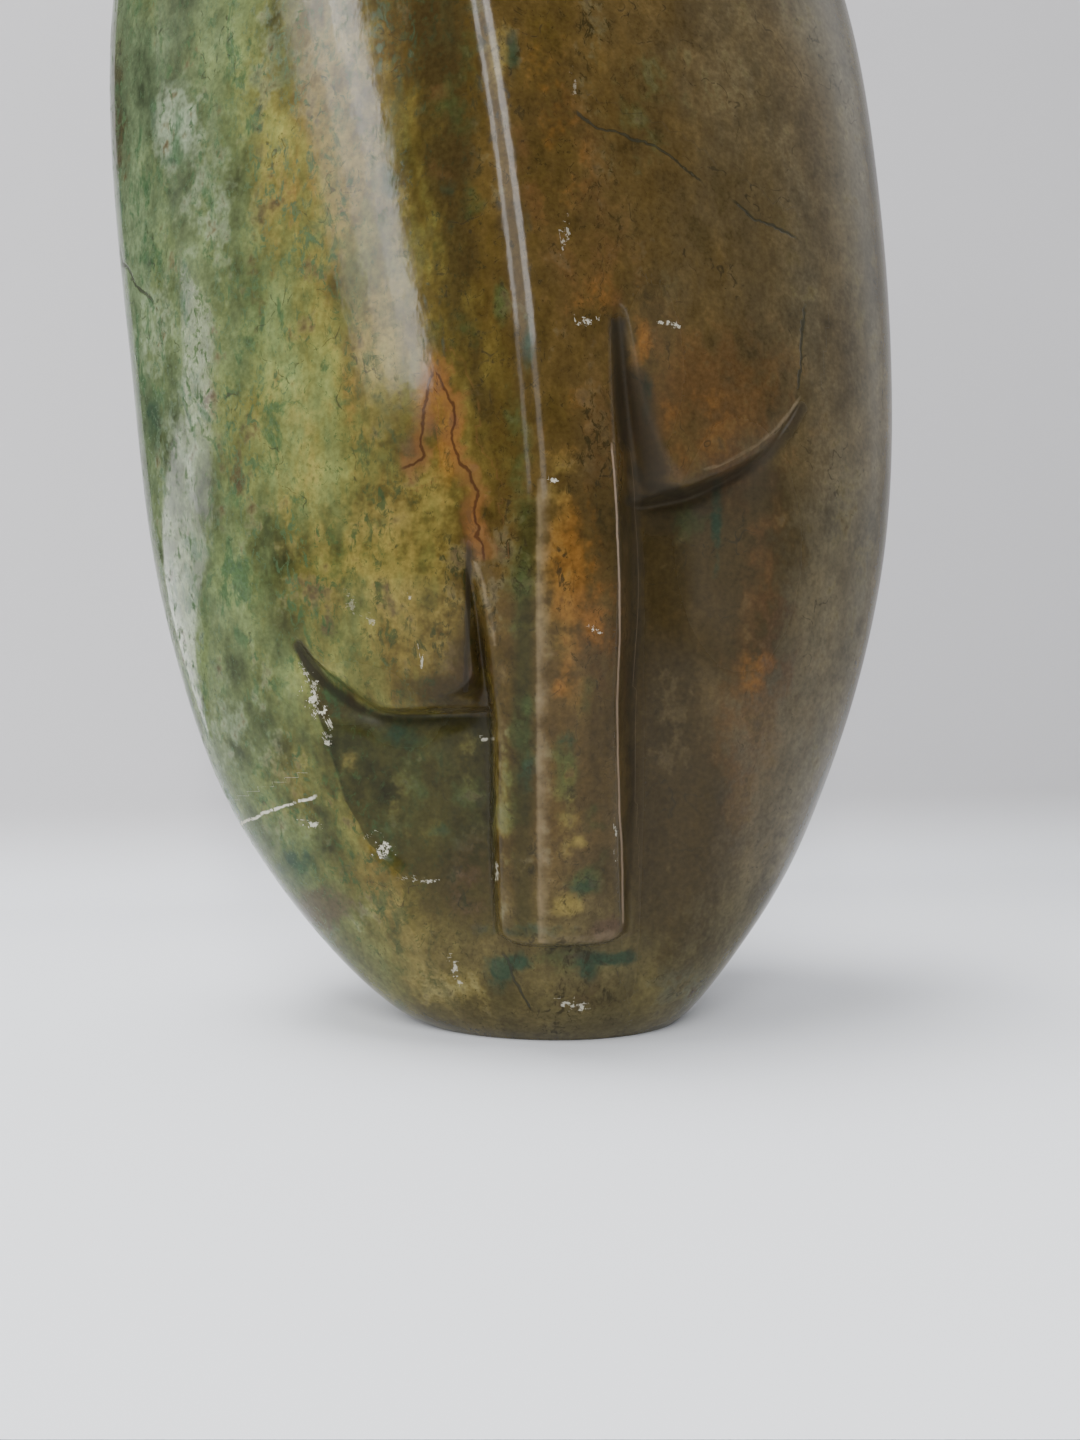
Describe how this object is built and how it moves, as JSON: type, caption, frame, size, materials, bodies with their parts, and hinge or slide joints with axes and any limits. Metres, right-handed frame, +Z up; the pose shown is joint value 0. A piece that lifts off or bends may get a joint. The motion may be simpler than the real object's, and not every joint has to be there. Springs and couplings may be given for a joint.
{
  "type": "stone face sculpture",
  "caption": "Abstract face carved in the front of a leaning egg of polished stone, with a long straight nose and heavy lowered eyelids, standing on a small flat underside.",
  "frame": {"origin": "middle of the flat underside that the stone stands on", "axes": "+Z up, the face looks along -Y, and +X is to the right as the viewer sees the face"},
  "size_m": [0.1757, 0.1042, 0.315],
  "materials": {
    "polished_stone": "polished"
  },
  "bodies": {
    "root": {"stone_face": "polished_stone"}
  },
  "joints": []
}
